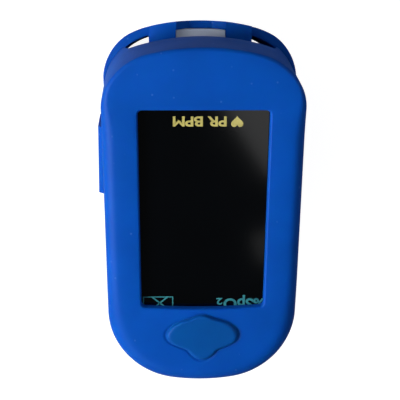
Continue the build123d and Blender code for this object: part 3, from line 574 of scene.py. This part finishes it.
# --- Lower silicone cover -----------------------------------------------------------------------
# The lower half of the same moulding: a bumper round the lower case, with a nose lip and its
# finger notch, a slanted band at each front corner, and a grip on each side.
def soften(name, node, radius, angle=30):
    """A copy of a CAD part with its sharp edges rounded, as a mould leaves them."""
    mesh = frame["nodes"][node].data.copy()
    piece = bpy.data.objects.new(name, mesh)
    bpy.context.collection.objects.link(piece)
    pick(piece)
    bpy.ops.object.mode_set(mode="EDIT")
    bpy.ops.mesh.select_all(action="SELECT")
    bpy.ops.mesh.remove_doubles(threshold=1e-6)
    bpy.ops.mesh.dissolve_limited(angle_limit=radians(0.5))
    bpy.ops.object.mode_set(mode="OBJECT")
    bevel = piece.modifiers.new("edge", "BEVEL")
    bevel.limit_method = "ANGLE"
    bevel.angle_limit = radians(angle)
    bevel.width = radius
    bevel.segments = 3
    bpy.ops.object.modifier_apply(modifier="edge")
    bpy.ops.object.shade_smooth_by_angle(angle=radians(38))
    return piece


lower_cover = soften("lower_silicone_cover", "cover_lower", 0.25 * mm)
# The corner bands are stretched a little wider than the mould, out to each side.
stretch = 0.4 * mm
for v in lower_cover.data.vertices:
    across = smooth_step(10 * mm, 13.5 * mm, abs(v.co.x))
    ahead = 1 - smooth_step(front_y + 12 * mm, front_y + 17 * mm, v.co.y)
    v.co.x += stretch * across * ahead * (1 if v.co.x > 0 else -1)
fit(lower_cover, blue_silicone, "lower_jaw", "silicone_cover", "cover_lower")


# --- Finger cushions ----------------------------------------------------------------------------
# Two soft silicone troughs, whitish grey, that hold the fingertip and keep room light out.
cushion_silicone = moulded("grey_cushion_silicone", "#bcc5d6", "#adb7ca", 0.62, 0.2, 0.01, patch=5.0)
for node, body in (("lower_cushion", "lower_jaw"), ("upper_cushion", "upper_jaw")):
    cushion = soften("soft_" + node, node, 0.35 * mm)
    fit(cushion, cushion_silicone, body, "finger_silicone", node)


# --- Cases, frames and battery door -------------------------------------------------------------
# Injection-moulded ABS, off-white outside and pale grey inside, with a fine eroded texture.
case_abs = moulded("off_white_abs", "#e9eaec", "#dfe1e4", 0.42, 0.25, 0.006, patch=12.0)
frame_abs = moulded("pale_grey_abs", "#c3c7cd", "#b7bbc2", 0.45, 0.25, 0.006, patch=10.0)


def finish_nodes(material, *nodes):
    """Gives CAD parts whose shape is already right their material."""
    for node in nodes:
        part = frame["nodes"][node]
        part.data.materials.clear()
        part.data.materials.append(material)


finish_nodes(case_abs, "lower_shell", "upper_shell", "battery_door", "power_button")
finish_nodes(frame_abs, "lower_frame", "upper_frame")


# --- Hinge and springs --------------------------------------------------------------------------
# A ground steel pin, and two torsion springs wound from drawn wire, one leg on each frame. The
# screws and the can of the crystal are bright steel too.
def metal(name, light, dark, roughness, grain):
    """Metal with fine drawing, grinding or plating marks, which soften its reflections."""
    made = moulded(name, light, dark, roughness, grain, 0.002, patch=1.5)
    made.node_tree.nodes["Principled BSDF"].inputs["Metallic"].default_value = 1.0
    return made


bright_steel = metal("ground_steel", "#c9cacc", "#b4b5b8", 0.25, 0.1)
spring_steel = metal("drawn_spring_wire", "#9b9c9f", "#838488", 0.32, 0.08)
finish_nodes(bright_steel, "hinge_pin", "lower_screws", "upper_screws", "crystal")

wire = 0.4 * mm
turns = 5.5
turn_steps = 24
for node in ("torsion_spring_left", "torsion_spring_right"):
    low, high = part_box(node)
    coil = (high.z - low.z) / 2 - wire
    route = [Vector((low.x + wire, high.y, pivot.z - coil))]
    for i in range(int(turns * turn_steps) + 1):
        a = -pi / 2 - 2 * pi * i / turn_steps
        x = low.x + wire + (high.x - low.x - 2 * wire) * i / (turns * turn_steps)
        route.append(Vector((x, pivot.y + coil * cos(a), pivot.z + coil * sin(a))))
    route.append(Vector((high.x - wire, high.y, pivot.z + coil)))
    line = bpy.data.curves.new(node + "_wire", "CURVE")
    line.dimensions = "3D"
    line.bevel_depth = wire
    line.bevel_resolution = 3
    line.use_fill_caps = True
    spline = line.splines.new("POLY")
    spline.points.add(len(route) - 1)
    for point, place in zip(spline.points, route):
        point.co = (*place, 1)
    spring = bpy.data.objects.new("wound_" + node, line)
    bpy.context.collection.objects.link(spring)
    pick(spring)
    bpy.ops.object.convert(target="MESH")
    spring = bpy.context.object
    bpy.ops.object.shade_smooth_by_angle(angle=radians(50))
    fit(spring, spring_steel, "lower_jaw", "spring_steel", node)


# --- Cells --------------------------------------------------------------------------------------
# Two AAA cells in a printed film, dark over most of the can with a copper band at one end, which
# press on strips of nickel-plated spring steel.
def cell_skin(name, copper_from, copper_to):
    """Film shrunk on a steel can: glossy black, with a copper band over one part of its length."""
    film = moulded(name, "#23262c", "#1b1d22", 0.3, 0.5, 0.001, patch=8.0)
    surface = film.node_tree.nodes["Principled BSDF"]
    place = add_node(film, "ShaderNodeTexCoord").outputs["Object"]
    along = add_node(film, "ShaderNodeSeparateXYZ", None, {"Vector": place}).outputs["Y"]
    past = add_node(film, "ShaderNodeMath", {"operation": "GREATER_THAN", 1: copper_from}, {0: along})
    before = add_node(film, "ShaderNodeMath", {"operation": "LESS_THAN", 1: copper_to}, {0: along})
    band = add_node(film, "ShaderNodeMath", {"operation": "MULTIPLY"},
                    {0: past.outputs["Value"], 1: before.outputs["Value"]})
    base = surface.inputs["Base Color"].links[0].from_socket
    mixed = add_node(film, "ShaderNodeMixRGB", {"Color2": linear("#b06a35")},
                     {"Fac": band.outputs["Value"], "Color1": base})
    film.node_tree.links.new(mixed.outputs["Color"], surface.inputs["Base Color"])
    film.node_tree.links.new(band.outputs["Value"], surface.inputs["Metallic"])
    return film


cell_low, cell_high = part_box("battery_left")
copper_start, copper_stop = 2 * mm, 13 * mm
front_band = cell_skin("front_banded_film", cell_low.y + copper_start, cell_low.y + copper_stop)
rear_band = cell_skin("rear_banded_film", cell_high.y - copper_stop, cell_high.y - copper_start)
finish_nodes(front_band, "battery_left")
finish_nodes(rear_band, "battery_right")
finish_nodes(metal("nickel_strip", "#d3cfc6", "#bdb9b0", 0.3, 0.12), "battery_contacts")


# --- Boards and their parts ---------------------------------------------------------------------
# Glass laminate under glossy green solder mask, matt moulded epoxy packages, a display of red
# epoxy bars that is dark while unlit, clear potted lamps, and a cable of brown polyimide film.
finish_nodes(moulded("green_solder_mask", "#0f6b3a", "#0b5a30", 0.28, 0.4, 0.004, patch=2.5),
             "main_board", "sensor_board", "emitter_board")
finish_nodes(moulded("black_epoxy", "#17181a", "#101113", 0.5, 0.15, 0.003, patch=1.5),
             "processor", "small_chips", "photodiode", "switch_body")
finish_nodes(moulded("potted_display", "#141519", "#0e0f12", 0.35, 0.3, 0.002, patch=4.0),
             "digit_display")
finish_nodes(moulded("unlit_red_epoxy", "#6a1414", "#571010", 0.3, 0.2, 0.002, patch=1.0),
             "digit_segments")
finish_nodes(moulded("clear_epoxy", "#dcdfe6", "#d0d4dc", 0.12, 0.3, 0.001, patch=1.5,
                     transmission_weight=0.8), "detector_lens", "emitter_lens")
finish_nodes(moulded("warm_clear_epoxy", "#e6dcc2", "#d9ceb2", 0.15, 0.2, 0.001, patch=0.8),
             "emitter_leds")
finish_nodes(moulded("polyimide_film", "#b5691c", "#a05a15", 0.25, 0.3, 0.001, patch=2.0),
             "flex_cable")
finish_nodes(moulded("natural_nylon", "#e6e0cf", "#dbd4c2", 0.4, 0.2, 0.003, patch=1.5),
             "cable_connector", "switch_stem")

bpy.ops.object.select_all(action="DESELECT")
